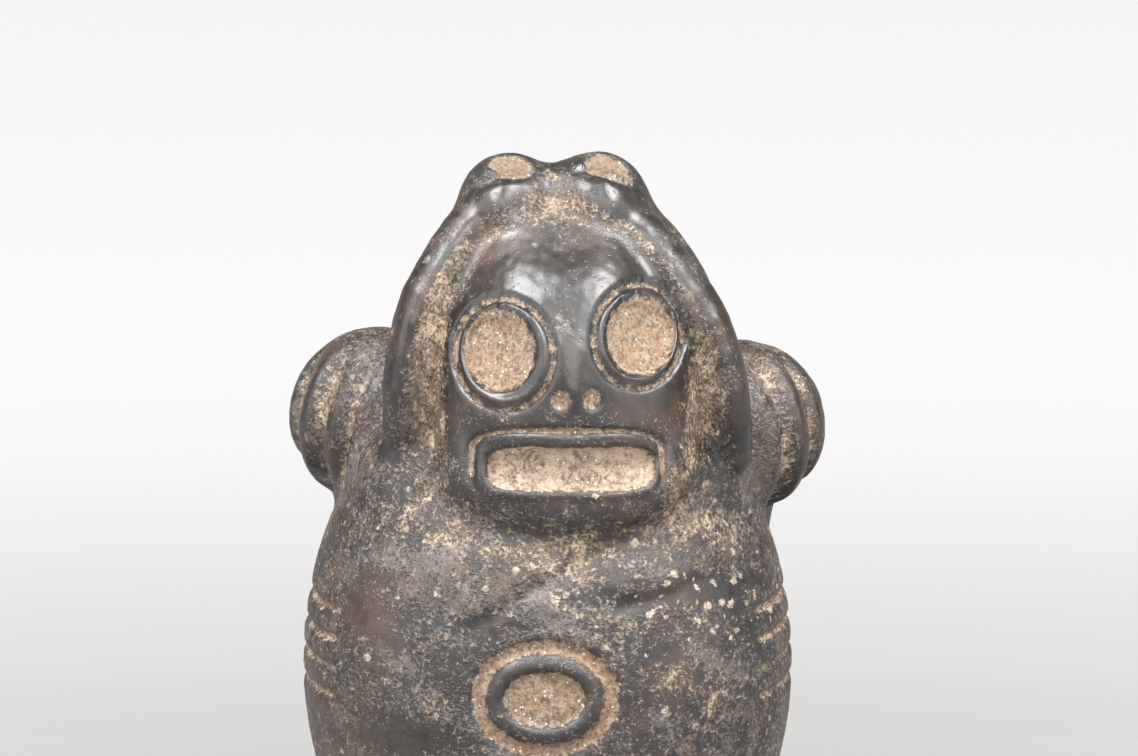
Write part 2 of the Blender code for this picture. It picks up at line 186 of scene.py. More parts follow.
def roll(p, side):
    """Distance from the rolled edge: a tapering limb, a thin crest along its front and a ramp behind."""
    line = roll_line(side)
    radii = np.interp(np.linspace(0, 1, ROLL_PIECES), ROLL_STATIONS, ROLL_RADII)
    ahead = (CREST_AHEAD * radii)[:, None] * (0, -1, 0)
    edge = blend(limb(p, line, radii, 0.1), limb(p, line + ahead, CREST_SHARE * radii, 0.1), 2.5)
    for inward, back, share in ROLL_BACKING:
        edge = blend(edge, limb(p, line + (-side * inward, back, 0), share * radii, 0.1), 3.0)
    return edge


def head(p):
    """The hooded head before its face is cut, without the hood's rolled edges."""
    mass = blend(ellipsoid(p, **HEAD), ellipsoid(p, **FACE_MASS), 4.0)
    mass = blend(mass, limb(p, bent_line(JAW_GUIDES, JAW_PIECES), [JAW_RADIUS] * JAW_PIECES, 0.1), 3.0)
    for side in (LEFT, RIGHT):
        mass = blend(mass, ellipsoid(p, BOSSES[side], BOSS_RADII), 4.5)
    return mass


# Face and crown carving
# Cut in by pecking and grinding: ringed eye hollows, nostrils, a boxed mouth, the rim round the face,
# a brow line and a pecked hollow on each boss. The brows and small bulges are left standing.
FACE_CENTRE, FACE_RADII, FACE_POWER = (2.8, 104.5), (20.6, 24.3), 2.6
EYES = {LEFT: dict(ring_centre=(-7.3, 108.1), ring=(7.9, 8.8), pit_centre=(-8.0, 108.8), pit=(6.0, 6.8)),
        RIGHT: dict(ring_centre=(14.3, 110.9), ring=(7.2, 8.2), pit_centre=(14.7, 111.0), pit=(5.8, 6.5))}
BROWS, BROW_RADII, BROW_RISE = ((-5.6, 118.6), (8.6, 119.4)), (6.5, 6.5), 0.9
NOSTRILS, NOSTRIL_RADII = ((1.9, 100.9), (6.8, 101.0)), (1.5, 1.6)
MOUTH_CENTRE, MOUTH_RADII = (2.8, 90.3), (15.4, 5.8)
SLOT_CENTRE, SLOT_RADII, SLOT_DEPTH, SLOT_TILT = (3.5, 89.8), (13.8, 3.8), 1.3, 0.2
LINE_DEPTH, LINE_WIDTH = 0.8, 0.6
RIM_DEPTH, RIM_OUT, RIM_WIDTH = 0.9, 1.8, 2.5
NOSE_X, NOSE_WIDTH, NOSE_RISE = 3.8, 3.0, 0.7
EYELID_RISE, PIT_EDGE_DEPTH, PIT_BOWL_DEPTH = 0.5, 1.3, 0.9
NOSTRIL_DEPTH, LIP_RISE = 0.9, 0.4
BOSS_BROWS = {LEFT: ((-12.4, 134.6), (-7.5, 136.2), (-2.6, 136.4)),
              RIGHT: ((4.0, 137.0), (9.0, 136.8), (14.2, 134.2))}
BOSS_BROW_DEPTH, BOSS_BROW_WIDTH = 1.0, 0.9
BOSS_HOLLOWS, HOLLOW_RADII, HOLLOW_DEPTH = ((-6.3, -10.8), (9.4, -10.8)), (3.8, 2.5), 0.7
BULGES = ((-8.4, 131.3, 3.0), (-2.9, 132.8, 1.8), (5.6, 132.6, 1.8), (10.2, 131.6, 3.0))
BULGE_RISE = 0.42


def face_cuts(x, z):
    """Depth cut from the front of the head: bells along ovals, and eased steps inside them."""
    rim = oval(x, z, FACE_CENTRE, FACE_RADII, FACE_POWER)
    above = ease(z, 112.0, 124.0)
    cut = RIM_DEPTH * hump(rim - RIM_OUT - 0.9 * above, RIM_WIDTH + 2.3 * above) * ease(z, 84.0, 92.0)
    for brow_x, brow_z in BROWS:
        cut -= BROW_RISE * hump(x - brow_x, BROW_RADII[0]) * hump(z - brow_z, BROW_RADII[1])
    cut -= NOSE_RISE * hump(x - NOSE_X, NOSE_WIDTH) * ease(z, 98.0, 102.0) * ease(-z, -114.0, -108.0)
    for eye in EYES.values():
        ring = oval(x, z, eye["ring_centre"], eye["ring"])
        cut += LINE_DEPTH * hump(ring, LINE_WIDTH) - EYELID_RISE * hump(ring + 1.2, 0.8)
        pit = oval(x, z, eye["pit_centre"], eye["pit"])
        cut += PIT_EDGE_DEPTH * ease(-pit, -0.3, 0.9) + PIT_BOWL_DEPTH * ease(-pit, 0.5, 5.0)
    for place in NOSTRILS:
        cut += NOSTRIL_DEPTH * ease(-oval(x, z, place, NOSTRIL_RADII), -0.5, 0.8)
    lips = oval(x, z, MOUTH_CENTRE, MOUTH_RADII, power=4)
    cut += LINE_DEPTH * hump(lips, LINE_WIDTH) * ease(z, MOUTH_CENTRE[1] - 5.0, MOUTH_CENTRE[1] - 1.0)
    cut -= LIP_RISE * ease(-lips, -0.2, 1.4)
    slot_floor = SLOT_DEPTH + SLOT_TILT * (z - SLOT_CENTRE[1])
    cut += slot_floor * ease(-oval(x, z, SLOT_CENTRE, SLOT_RADII, power=4), -0.4, 1.0)
    return cut


def crease(x, z, line, width):
    """A bell across a broken line in the front view, eased out at both of the line's ends."""
    line = np.array(line)
    height = np.interp(x, line[:, 0], line[:, 1])
    slope = np.interp(x, line[:-1, 0], np.diff(line[:, 1]) / np.diff(line[:, 0]))
    ends = ease(x, line[0, 0] - 2, line[0, 0] + 4) * ease(-x, -line[-1, 0] - 2, 4 - line[-1, 0])
    return hump((z - height) / np.hypot(1, slope), width) * ends


def crown_cuts(x, y, z):
    """Depth cut from the bosses: a bell along each brow line, an eased oval on top, and bulges left."""
    cut = 0.0
    for line in BOSS_BROWS.values():
        cut = cut + BOSS_BROW_DEPTH * crease(x, z, line, BOSS_BROW_WIDTH)
    for place in BOSS_HOLLOWS:
        cut += HOLLOW_DEPTH * ease(-oval(x, y, place, HOLLOW_RADII), -0.6, 1.0) * ease(z, 130.0, 134.0)
    for bulge_x, bulge_z, size in BULGES:
        cut -= BULGE_RISE * size * hump(np.hypot(x - bulge_x, z - bulge_z), size)
    return cut


# Body carving
# A ring and a hollow for the navel, two creases under the breast, four short cuts like fingers on each
# flank, and a furrow down the spine.
NAVEL_CENTRE, NAVEL_RING, NAVEL_PIT = (-0.7, 52.6), (10.8, 8.5), (6.8, 4.8)
CHEST_CREASES = (((-12.7, 63.9), (-1.5, 70.6), (6.5, 75.4), (13.0, 77.5)),
                 ((9.5, 67.2), (19.3, 69.0), (27.3, 71.9), (35.0, 73.5)))
CREASE_DEPTH, CREASE_WIDTH = 0.7, 1.5
NAVEL_DEPTH, NAVEL_WIDTH, NAVEL_LIP_RISE, NAVEL_PIT_DEPTH = 1.1, 1.3, 0.3, 1.0
PADS, PAD_RISE = (((-8.0, 71.0), (11.0, 6.0), 4.0), ((17.5, 71.5), (9.0, 3.5), 3.0)), 0.7
FINGER_COUNT, FINGER_PITCH, FINGER_TOP, FINGER_SLANT = 4, 4.7, 67.5, 0.15
SPINE_X, SPINE_DEPTH, SPINE_WIDTH = -0.6, 1.3, 2.5
FINGER_SPAN, FINGER_DEPTH, FINGER_WIDTH = (-16.0, 6.0), 0.9, 0.8


def body_cuts(x, z):
    """Depth cut from the front of the body: bells along ovals and lines, less two low pads left."""
    ring = oval(x, z, NAVEL_CENTRE, NAVEL_RING)
    cut = NAVEL_DEPTH * hump(ring, NAVEL_WIDTH) - NAVEL_LIP_RISE * hump(ring + 2.6, 1.2)
    cut += NAVEL_PIT_DEPTH * ease(-oval(x, z, NAVEL_CENTRE, NAVEL_PIT), -0.3, 0.6)
    for line in CHEST_CREASES:
        cut += CREASE_DEPTH * crease(x, z, line, CREASE_WIDTH)
    for centre, radii, inner in PADS:
        cut -= PAD_RISE * ease(-oval(x, z, centre, radii), -3.0, inner)
    return cut


def finger_cuts(p):
    """Depth of the flank's cuts: bells across parallel lines that slope down to the front."""
    x, y, z = p.T
    first, last = FINGER_SPAN
    span = ease(np.abs(x), 28.0, 33.0) * ease(y, first - 2, first + 2) * ease(-y, -last - 2, 2 - last)
    lines = [z - FINGER_TOP + n * FINGER_PITCH - FINGER_SLANT * y for n in range(FINGER_COUNT)]
    return span * sum(FINGER_DEPTH * hump(line, FINGER_WIDTH) for line in lines)


def spine_cut(p):
    """Depth of the furrow down the back: a bell across the middle plane."""
    x, y, z = p.T
    cut = SPINE_DEPTH * hump(x - SPINE_X, SPINE_WIDTH)
    return cut * ease(y, 8, 18) * ease(z, 20, 32) * ease(-z, -84, -74)


def carving(p):
    """Depth of everything that is cut into the masses, at these points."""
    x, y, z = p.T
    front, on_head = ease(-y, 2.0, 8.0), ease(z, 78.0, 80.0)
    cut = front * (on_head * face_cuts(x, z) + (1 - on_head) * body_cuts(x, z))
    cut += ease(-y, -2.0, 3.0) * crown_cuts(x, y, z)
    cut += CHIP_DEPTH * hump(np.linalg.norm(p - CHIP, axis=1), CHIP_SIZE)
    return cut + finger_cuts(p) + spine_cut(p)


FILLETS = dict(hips=6.0, leg=4.5, arm=2.5, shoulder=3.5, head=3.0, roll=2.4)


def stone(p):
    """Signed distance from the whole stone: every mass blended, plus the carving's depth."""
    form = blend(ellipsoid(p, **BODY), ellipsoid(p, **HIPS), FILLETS["hips"])
    for side in (LEFT, RIGHT):
        form = blend(form, leg(p, side), FILLETS["leg"])
        form = blend(form, arm(p, side), FILLETS["arm"])
        form = blend(form, shoulder(p, side), FILLETS["shoulder"])
    form = blend(form, head(p), FILLETS["head"])
    for side in (LEFT, RIGHT):
        form = blend(form, roll(p, side), FILLETS["roll"])
    return blend(form + carving(p), foot(p), FOOT_FILLET)


# The stone's surface
# Rays leave a flat core inside the stone, level up to the chest and then turning up to the crown. Where
# each one meets the form is a point of the surface: a grid of the share of the way up, by the turn round.
COLUMNS, ROWS = 330, 300
CORE_TOP, CORE_RISE, LEVEL_PART = 78.0, 30.0, 0.5
CORE_HALF, CORE_BACK = 26.0, 8.0
FAR_OUT, MARCH_STEPS, STRIDE, NEAR_ENOUGH = 120.0, 45, 0.6, 0.02
NEWTON_STEPS, PROBE, LONGEST_STEP, LEAST_SLOPE = 5, 0.02, 0.4, 0.04


def rays(share_up, turn):
    """Starts go up a flat core, out and back to the shoulders, and directions tilt up over its last part."""
    rise = np.clip((share_up - LEVEL_PART) / (1 - LEVEL_PART), 0, 1)
    level = np.clip(share_up / LEVEL_PART, 0, 1)
    height = level * (FOOT_TALL + CORE_TOP) + CORE_RISE * rise**2 - FOOT_TALL
    tilt = rise * np.pi / 2
    wide = level * (1 - rise**2)
    across, back = CORE_HALF * wide * np.sin(turn), CORE_BACK * wide * np.sin(turn) ** 2
    start = np.stack([level + across, back, height], axis=-1)
    aim = np.stack([np.sin(turn) * np.cos(tilt), -np.cos(turn) * np.cos(tilt), np.sin(tilt)], axis=-1)
    return start, aim


def meet(start, aim):
    """Sphere tracing in along each ray by a share of the distance, then Newton steps: distance over slope."""
    far = np.full(len(start), FAR_OUT)
    moving = np.arange(len(start))
    for _ in range(MARCH_STEPS):
        gap = stone(start[moving] + aim[moving] * far[moving, None])
        far[moving] = np.maximum(far[moving] - STRIDE * gap, 0)
        moving = moving[np.abs(gap) > NEAR_ENOUGH]
    for _ in range(NEWTON_STEPS):
        gap = stone(start + aim * far[:, None])
        slope = (stone(start + aim * (far + PROBE)[:, None]) - gap) / PROBE
        far -= np.clip(gap / np.maximum(slope, LEAST_SLOPE), -LONGEST_STEP, LONGEST_STEP)
    return start + aim * far[:, None]


def spread(line, weight, count, closed):
    """Grid values that share out the weighted length of a line of points evenly."""
    step = np.linalg.norm(np.diff(line, axis=0), axis=1) * (weight[1:] + weight[:-1]) / 2
    length = np.concatenate([[0], np.cumsum(step)])
    return np.interp(np.linspace(0, length[-1], count, endpoint=not closed), length,
                     np.linspace(0, 1, len(line)))


WAVES, WAVE_HEIGHT = 24, 0.6


def wave_noise(p, size, seed):
    """Uneven values about -1 to 1: a sum of sine waves about size long, in seeded directions."""
    draw = np.random.default_rng(seed)
    aims = draw.normal(size=(WAVES, 3))
    aims *= 2 * np.pi / size / np.linalg.norm(aims, axis=1)[:, None] * draw.uniform(0.7, 1.4, WAVES)[:, None]
    waves = np.sin(p @ aims.T + draw.uniform(0, 2 * np.pi, WAVES))
    return waves.sum(axis=1) / (WAVES / 2) ** 0.5 * WAVE_HEIGHT


def uneven(p, *waves):
    """A sum of wave noises, each (height, size, seed)."""
    return sum(height * wave_noise(p, size, seed) for height, size, seed in waves)


PROFILE_POINTS, GIRDLE_SHARE = 700, 0.6
BACK_WEIGHT, FRONT_WEIGHT = 0.45, 1.5
samples = np.linspace(0, 1, PROFILE_POINTS)
profile = meet(*rays(samples, 0 * samples))
up = spread(profile, 1 + ease(profile[:, 2], 28.0, 40.0), ROWS + 1, closed=False)[:-1]
girdle = meet(*rays(0 * samples + GIRDLE_SHARE, samples * 2 * np.pi))
facing = BACK_WEIGHT + FRONT_WEIGHT * ease(np.cos(samples * 2 * np.pi), -0.5, 0.1)
turn = spread(girdle, facing, COLUMNS, closed=True) * 2 * np.pi
up_grid, turn_grid = np.meshgrid(up, turn, indexing="ij")
start, aim = rays(up_grid.ravel(), turn_grid.ravel())
skin = meet(start, aim)
skin[:COLUMNS, 2] = -FOOT_TALL
crown = meet(*rays(np.array([1.0]), np.array([0.0])))

# Deposit, crust and dust
# Pale grit fills what was pecked and never polished, a patchy tan crust clings to the sheltered
# places, and a thin grey-brown dust lies over the worn ones. Each is kept as a value at every point.
CRUST_PLACES = ((-24.0, 84.0, 9.0, 6.0, 0.3), (24.0, 84.0, 8.0, 6.0, 0.35), (-14.0, 79.0, 6.0, 4.0, 0.4),
                (18.0, 80.0, 6.0, 5.0, 0.5), (4.0, 77.0, 12.0, 2.5, 0.4), (3.0, 71.5, 5.0, 6.0, 0.35),
                (19.5, 55.7, 2.6, 2.6, 0.55), (27.0, 51.0, 3.4, 4.6, 0.5), (-20.0, 51.0, 6.0, 2.4, 0.35),
                (2.9, 112.4, 1.6, 1.8, 0.6), (24.0, 99.0, 3.0, 5.0, 0.35), (-18.0, 113.0, 2.0, 6.0, 0.35),
                (0.5, 135.5, 2.4, 4.0, 0.25))
# Tan crust in the valley round the face; the patches down its left and right sides are also painted sheen,
# lighter where the inner slopes of the rolls catch the lamps.
VALLEY_CRUST_AND_SHEEN = ((1.0, 130.0, 14.0, 6.0, 0.32), (16.0, 123.0, 7.0, 6.0, 0.4), (-18.0, 112.0, 6.0, 14.0, 0.5),
                (23.0, 106.0, 5.0, 12.0, 0.5), (2.5, 134.5, 2.6, 3.4, 0.35))
BOSS_FRONTS = ((-8.6, 133.2, 6.2, 3.6, 1.2), (10.0, 133.2, 6.4, 3.6, 1.2))
# Extra dust, each (x, z, half width, half height, amount); on the chest's two pads it is partly painted
# sheen, where the pads face the lamps, and partly real grey film.
DUST_AND_SHEEN_PLACES = ((-10.0, 72.0, 12.0, 8.0, 0.3), (18.0, 71.5, 9.0, 4.0, 0.15), (3.0, 126.5, 10.0, 1.5, 0.05),
               (-2.0, 82.0, 12.0, 2.0, 0.25), (10.0, 97.0, 9.0, 2.5, 0.25), (-10.0, 98.5, 5.0, 2.5, 0.2))
# Places where the dust is cleared to near-black bare stone: painted shade in the chest creases and under the
# jaw, and darker stone round the navel and low on the left.
DARK_AND_PAINTED_SHADE_PLACES = ((-12.0, 64.5, 6.0, 2.0, 0.45), (22.0, 69.5, 12.0, 2.0, 0.45), (-20.0, 45.5, 8.0, 2.5, 0.5),
               (3.0, 82.0, 14.0, 3.5, 0.3), (-0.7, 52.6, 7.5, 5.5, 0.6))
SPECK_PLACES = ((22.0, 66.0, 12.0, 5.0, 1.2), (4.0, 71.0, 4.0, 5.0, 0.5), (5.0, 76.0, 10.0, 4.0, 0.2))


def patches(x, z, places):
    """A sum of bells in the front view, each (x, z, half width, half height, amount)."""
    return sum(amount * hump(x - cx, wide) * hump(z - cz, tall) for cx, cz, wide, tall, amount in places)


LINE_REACH, HOLLOW_REACH, OUT_OF_REACH = 0.2, 0.5, -9.0


def grit_reach(p):
    """How far inside pecked grit a point lies, in shares: the largest over every ring, hollow and line."""
    x, y, z = p.T
    reach = np.full(len(p), OUT_OF_REACH)
    for eye in EYES.values():
        ring = np.abs(oval(x, z, eye["ring_centre"], eye["ring"]))
        reach = np.maximum(reach, np.minimum(2.4 * (0.5 - ring), LINE_REACH))
        reach = np.maximum(reach, -oval(x, z, eye["pit_centre"], eye["pit"]) - 0.2)
    for place in NOSTRILS:
        reach = np.maximum(reach, -oval(x, z, place, NOSTRIL_RADII))
    lips = oval(x, z, MOUTH_CENTRE, MOUTH_RADII, power=4)
    upper = ease(z, MOUTH_CENTRE[1] - 4.0, MOUTH_CENTRE[1] - 1.0)
    reach = np.maximum(reach, np.minimum(2.4 * (0.85 * upper - 0.3 - np.abs(lips)), HOLLOW_REACH))
    reach = np.maximum(reach, -oval(x, z, SLOT_CENTRE, SLOT_RADII, power=4) - 0.3)
    ring = oval(x, z, NAVEL_CENTRE, NAVEL_RING)
    reach = np.maximum(reach, 1.2 - np.abs(ring))
    reach = np.maximum(reach, -oval(x, z, NAVEL_CENTRE, NAVEL_PIT) - 0.1)
    reach = np.where(y < 0, reach, OUT_OF_REACH)
    for place in BOSS_HOLLOWS:
        inside = np.minimum(-oval(x, y, place, HOLLOW_RADII), HOLLOW_REACH)
        reach = np.maximum(reach, np.where(z > 130, inside, OUT_OF_REACH))
    return np.maximum(reach, -3.0)


def painted_light_shade_share(p):
    """1 in the mouth's slot, where the grit is painted paler as painted light, and -1 on the crown, where it
    is painted darker as painted shade.
    """
    x, y, z = p.T
    slot = ease(-oval(x, z, SLOT_CENTRE, SLOT_RADII, power=4), -1.0, 1.5) * (y < 0)
    return slot - ease(z, 126.0, 128.0)


def on_roll(p):
    """1 on the outer slopes of the hood's rolled edges, falling to 0 at their crests and just beside them."""
    share = 0.0
    for side in (LEFT, RIGHT):
        line = roll_line(side)[::-1]
        beyond = side * (p[:, 0] - np.interp(p[:, 2], line[:, 2], line[:, 0]))
        share = np.maximum(share, ease(-roll(p, side), -1.6, -0.5) * ease(beyond, -0.8, 0.4))
    return share


def on_lobe(p):
    """1 on the shoulders' lobes, fading towards the neck and below."""
    x, _, z = p.T
    return ease(np.abs(x - 1.6), 24.0, 28.0) * ease(z, 79.0, 84.0) * ease(-z, -116.0, -110.0)


def lobe_groove(p):
    """Depth of the grooves round whichever shoulder is nearer."""
    return band_cuts(p, LEFT) * (p[:, 0] < 0) + band_cuts(p, RIGHT) * (p[:, 0] > 0)


def crust_share(p):
    """Share of the skin that tan crust covers: patches, the valley round the face, and every groove; the
    valley's left and right sides are partly painted sheen.
    """
    x, y, z = p.T
    rim = oval(x, z, FACE_CENTRE, FACE_RADII, FACE_POWER)
    front = ease(-y, 4.0, 10.0)
    bosses = np.clip(patches(x, z, BOSS_FRONTS), 0, 1)
    valley = hump(rim - 2.0, 3.0) * ease(z, 84.0, 92.0) * (1 - bosses)
    polished = ease(-rim, 0.2, 1.5) * front * ease(z, 80.0, 84.0)
    crust = 0.12 - 0.1 * polished + 0.11 * wave_noise(p, 20.0, 5)
    crust += front * (valley * (0.25 + patches(x, z, VALLEY_CRUST_AND_SHEEN)) + patches(x, z, CRUST_PLACES))
    crust += on_lobe(p) * (0.62 * ease(lobe_groove(p), 0.3, 1.1) - 0.12)
    crust += (0.8 * ease(finger_cuts(p), 0.2, 0.8) + 0.4 * ease(spine_cut(p), 0.3, 0.9)
              + 0.3 * ease(-z, -6.0, 4.0))
    return np.clip(crust * (1 - 0.8 * on_roll(p)), 0, 1)


def dust_share(p):
    """How thick the dust lies: thin on the polished face and rolls, thick on the body and shoulders, thicker
    on the chest's pads as partly painted sheen, and cleared as painted shade in the chest creases and under
    the jaw.
    """
    x, y, z = p.T
    front = ease(-y, 4.0, 10.0)
    rim = oval(x, z, FACE_CENTRE, FACE_RADII, FACE_POWER)
    top = ease(z, 112.0, 120.0)
    face = ease(-rim - 1.5 * top, -0.5, 1.5 + 2.5 * top) * front * ease(z, 82.0, 90.0)
    face *= 1 - 0.5 * ease(-z, -104.0, -96.0)
    bosses = np.clip(patches(x, z, BOSS_FRONTS), 0, 1) * front
    hood = np.maximum(np.maximum(0.6 * ease(z, 122.0, 128.0), 1.3 * bosses), on_roll(p) * (1 - 0.5 * top))
    beside = ease(rim, -0.5, 1.0) * ease(-rim, -6.5, -4.0) * ease(z, 92.0, 97.0) * (1 - on_roll(p))
    dust = 0.54 - 0.54 * face - 0.42 * hood * (1 - face)
    dust += front * (0.5 * beside + patches(x, z, DUST_AND_SHEEN_PLACES))
    dust += on_lobe(p) * (0.1 - 0.35 * ease(-lobe_groove(p), -0.4, -0.1) * ease(np.abs(x - 1.6), 34.0, 40.0))
    clouds = uneven(p, (0.13, 16.0, 8), (0.12, 6.0, 10), (0.10, 3.0, 11))
    # Clearing the dust in these places lays painted shade in the chest creases and under the jaw.
    return np.clip(dust - front * patches(x, z, DARK_AND_PAINTED_SHADE_PLACES) + clouds * (1 - 0.7 * face), 0, 1)


def speck_share(p):
    """How many pale specks lie on the skin."""
    x, y, z = p.T
    plain = np.maximum(ease(z, 84.0, 92.0) * (y < 0), on_lobe(p))
    strewn = (0.05 + 0.04 * wave_noise(p, 14.0, 9)) * (1 - plain)
    return np.clip(strewn + patches(x, z, SPECK_PLACES) * (y < 0), 0, 1)


grit = grit_reach(skin)
pecked = ease(grit, -0.2, 0.6) * uneven(skin, (0.14, 1.3, 1), (0.10, 2.6, 2))
worn = uneven(skin, (0.05, 7.0, 3), (0.03, 2.2, 4))
relief = pecked + worn * ease(skin[:, 2], -FOOT_TALL, 4 - FOOT_TALL)
skin = skin + aim * relief[:, None]
skin[:COLUMNS, 2] = -FOOT_TALL
points = np.concatenate([skin, crown, [[0, 0, -FOOT_TALL]]])

ring, column = np.meshgrid(np.arange(ROWS - 1), np.arange(COLUMNS), indexing="ij")
beside = (column + 1) % COLUMNS
quads = np.stack([ring * COLUMNS + column, ring * COLUMNS + beside,
                  (ring + 1) * COLUMNS + beside, (ring + 1) * COLUMNS + column], axis=-1).reshape(-1, 4)
around, after = np.arange(COLUMNS), (np.arange(COLUMNS) + 1) % COLUMNS
last, top, middle = (ROWS - 1) * COLUMNS, ROWS * COLUMNS, ROWS * COLUMNS + 1
crown_fan = np.stack([last + around, last + after, 0 * around + top], axis=1)
foot_fan = np.stack([after, around, 0 * around + middle], axis=1)
mesh = bpy.data.meshes.new("carved_stone")
faces = quads.tolist() + crown_fan.tolist() + foot_fan.tolist()
mesh.from_pydata((points + (0, 0, FOOT_TALL)) * SHARE, [], faces)
mesh.shade_smooth()
# painted_light_shade is painted light for the grit in the mouth's slot and painted shade for the grit on the
# crown.
for name, values in dict(grit=grit_reach(points), painted_light_shade=painted_light_shade_share(points), crust=crust_share(points),
                         dust=dust_share(points), specks=speck_share(points)).items():
    mesh.attributes.new(name, "FLOAT", "POINT").data.foreach_set("value", values.astype(np.float32))
figure = bpy.data.objects.new("stone_figure", mesh)
bpy.context.scene.collection.objects.link(figure)

# The stone's finish
# Dark stone with a ground polish, under its dust, specks, crust and grit. All of it is worked out
# from Object coordinates in metres and the five values kept in the mesh.
finish = bpy.data.materials.new("polished_dark_stone")
finish.use_nodes = True
tree = finish.node_tree
shader = tree.nodes["Principled BSDF"]
place = tree.nodes.new("ShaderNodeTexCoord").outputs["Object"]


def mottle(size, detail=4.0, roughness=0.6, vector=place):
    """Cloudy noise with patches about size metres across."""
    node = tree.nodes.new("ShaderNodeTexNoise")
    node.inputs["Scale"].default_value = 1 / size
    node.inputs["Detail"].default_value = detail
    node.inputs["Roughness"].default_value = roughness
    tree.links.new(vector, node.inputs["Vector"])
    return node.outputs["Fac"]


def cells(size, stray):
    """Random cells about size metres across, shaken by noise: distance to the middle, two random values."""
    shake = tree.nodes.new("ShaderNodeTexNoise")
    shake.inputs["Scale"].default_value = 2 / size
    shift = tree.nodes.new("ShaderNodeVectorMath")
    shift.operation = "MULTIPLY_ADD"
    shift.inputs[1].default_value = (stray, stray, stray)
    node = tree.nodes.new("ShaderNodeTexVoronoi")
    node.inputs["Scale"].default_value = 1 / size
    split = tree.nodes.new("ShaderNodeSeparateColor")
    tree.links.new(place, shake.inputs["Vector"])
    tree.links.new(shake.outputs["Color"], shift.inputs[0])
    tree.links.new(place, shift.inputs[2])
    tree.links.new(shift.outputs["Vector"], node.inputs["Vector"])
    tree.links.new(node.outputs["Color"], split.inputs["Color"])
    return node.outputs["Distance"], split.outputs["Red"], split.outputs["Green"]


def kept(name):
    """A value kept in the mesh at every point."""
    node = tree.nodes.new("ShaderNodeAttribute")
    node.attribute_name = name
    return node.outputs["Fac"]


def maths(operation, *terms):
    """One arithmetic step on sockets or numbers."""
    node = tree.nodes.new("ShaderNodeMath")
    node.operation = operation
    for socket, term in zip(node.inputs, terms):
        if isinstance(term, (int, float)):
            socket.default_value = term
        else:
            tree.links.new(term, socket)
    return node.outputs["Value"]


def rise(value, low, high, start=0.0, end=1.0):
    """start below low and end above high, with a smooth step between."""
    node = tree.nodes.new("ShaderNodeMapRange")
    node.interpolation_type = "SMOOTHSTEP"
    names = ("Value", "From Min", "From Max", "To Min", "To Max")
    for name, term in zip(names, (value, low, high, start, end)):
        if isinstance(term, (int, float)):
            node.inputs[name].default_value = term
        else:
            tree.links.new(term, node.inputs[name])
    return node.outputs["Result"]


def layer(under, over, cover):
    """A colour with another laid over it by a cover value from 0 to 1."""
    node = tree.nodes.new("ShaderNodeMix")
    node.data_type = "RGBA"
    for socket, term in ((node.inputs[0], cover), (node.inputs[6], under), (node.inputs[7], over)):
        if isinstance(term, tuple):
            socket.default_value = (*term, 1.0)
        else:
            tree.links.new(term, socket)
    return node.outputs[2]


dot, fine, grainy = mottle(0.00028, 1.0, 0.6), mottle(0.0006, 2.0, 0.7), mottle(0.0013, 4.0, 0.75)
clotted, cloudy, broad = mottle(0.0036, 7.0, 0.72), mottle(0.009, 6.0, 0.65), mottle(0.02, 4.0, 0.6)


def mean(*terms):
    """Weighted sum of (socket, weight) pairs."""
    total = maths("MULTIPLY", *terms[0])
    for socket, weight in terms[1:]:
        total = maths("MULTIPLY_ADD", socket, weight, total)
    return total


def cover(noise, share, low, high, soft):
    """Where noise lies above a threshold that falls from high to low as the share goes from 0 to 1."""
    above = maths("SUBTRACT", noise, maths("MULTIPLY_ADD", share, low - high, high))
    return rise(above, -soft, soft)


def tinted(colour, *tones):
    """A colour with tones laid over it in turn, each where a sum of noises rises from low to high."""
    for tone, noises, low, high, most in tones:
        colour = layer(colour, tone, rise(mean(*noises), low, high, 0.0, most))
    return colour


# Bare stone: near black, clouded with grey, and browner where dust lies
brown_most = rise(kept("dust"), 0.0, 0.3, 0.2, 0.6)
stone_colour = tinted((0.007, 0.006, 0.0055),
                      ((0.025, 0.022, 0.020), ((cloudy, 0.5), (grainy, 0.5)), 0.42, 0.62, 1.0),
                      ((0.070, 0.032, 0.017), ((broad, 0.6), (clotted, 0.4)), 0.46, 0.62, brown_most))

# Dust: brown and grey film broken into grains, paler and darker by turns
dust_cover = cover(mean((fine, 0.5), (grainy, 0.35), (clotted, 0.15)), kept("dust"), 0.37, 0.70, 0.06)
dust_colour = tinted((0.085, 0.055, 0.036),
                     ((0.110, 0.092, 0.078), ((cloudy, 0.7), (grainy, 0.3)), 0.44, 0.58, 1.0),
                     ((0.045, 0.036, 0.027), ((clotted, 0.6), (fine, 0.4)), 0.50, 0.60, 0.8),
                     ((0.27, 0.21, 0.15), ((fine, 0.5), (grainy, 0.5)), 0.54, 0.64, 0.85),
                     ((0.018, 0.013, 0.010), ((dot, 0.5), (fine, 0.5)), 0.48, 0.38, 0.8))
colour = layer(stone_colour, dust_colour, maths("MULTIPLY", dust_cover, 0.92))

# Specks: separate cream grains, thick in a few places
speck_distance, speck_tone, speck_size = cells(0.0016, 0.0014)
speck_edge = maths("SUBTRACT", maths("MULTIPLY_ADD", speck_size, 0.30, 0.18), speck_distance)
speck_here = rise(maths("SUBTRACT", maths("MULTIPLY", kept("specks"), 0.75), speck_tone), -0.02, 0.02)
speck_cover = maths("MULTIPLY", rise(speck_edge, -0.08, 0.10), speck_here)
speck_colour = tinted((0.24, 0.18, 0.12), ((0.48, 0.41, 0.31), ((fine, 0.7), (broad, 0.3)), 0.42, 0.56, 1.0))
colour = layer(colour, speck_colour, maths("MULTIPLY", speck_cover, 0.85))

